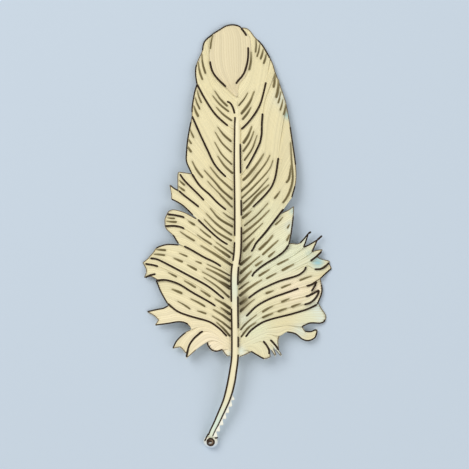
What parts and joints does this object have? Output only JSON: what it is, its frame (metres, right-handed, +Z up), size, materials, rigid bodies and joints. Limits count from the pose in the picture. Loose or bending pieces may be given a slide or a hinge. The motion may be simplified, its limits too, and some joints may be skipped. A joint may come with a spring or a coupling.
{
  "type": "feather",
  "caption": "Cream contour feather lying hollow side down, with overlapping vane locks, a ragged downy base, a curved quill and a fringe of sheath scales.",
  "frame": {"origin": "middle of the feather's outline, on the surface that it lies on", "axes": "+Y from the quill's end to the tip, +Z up from the surface, +X to the right as the outer face is seen with the tip up"},
  "size_m": [0.0738, 0.1659, 0.0091],
  "materials": {
    "feather_keratin": "matte"
  },
  "bodies": {
    "root": {"feather": "feather_keratin"}
  },
  "joints": []
}
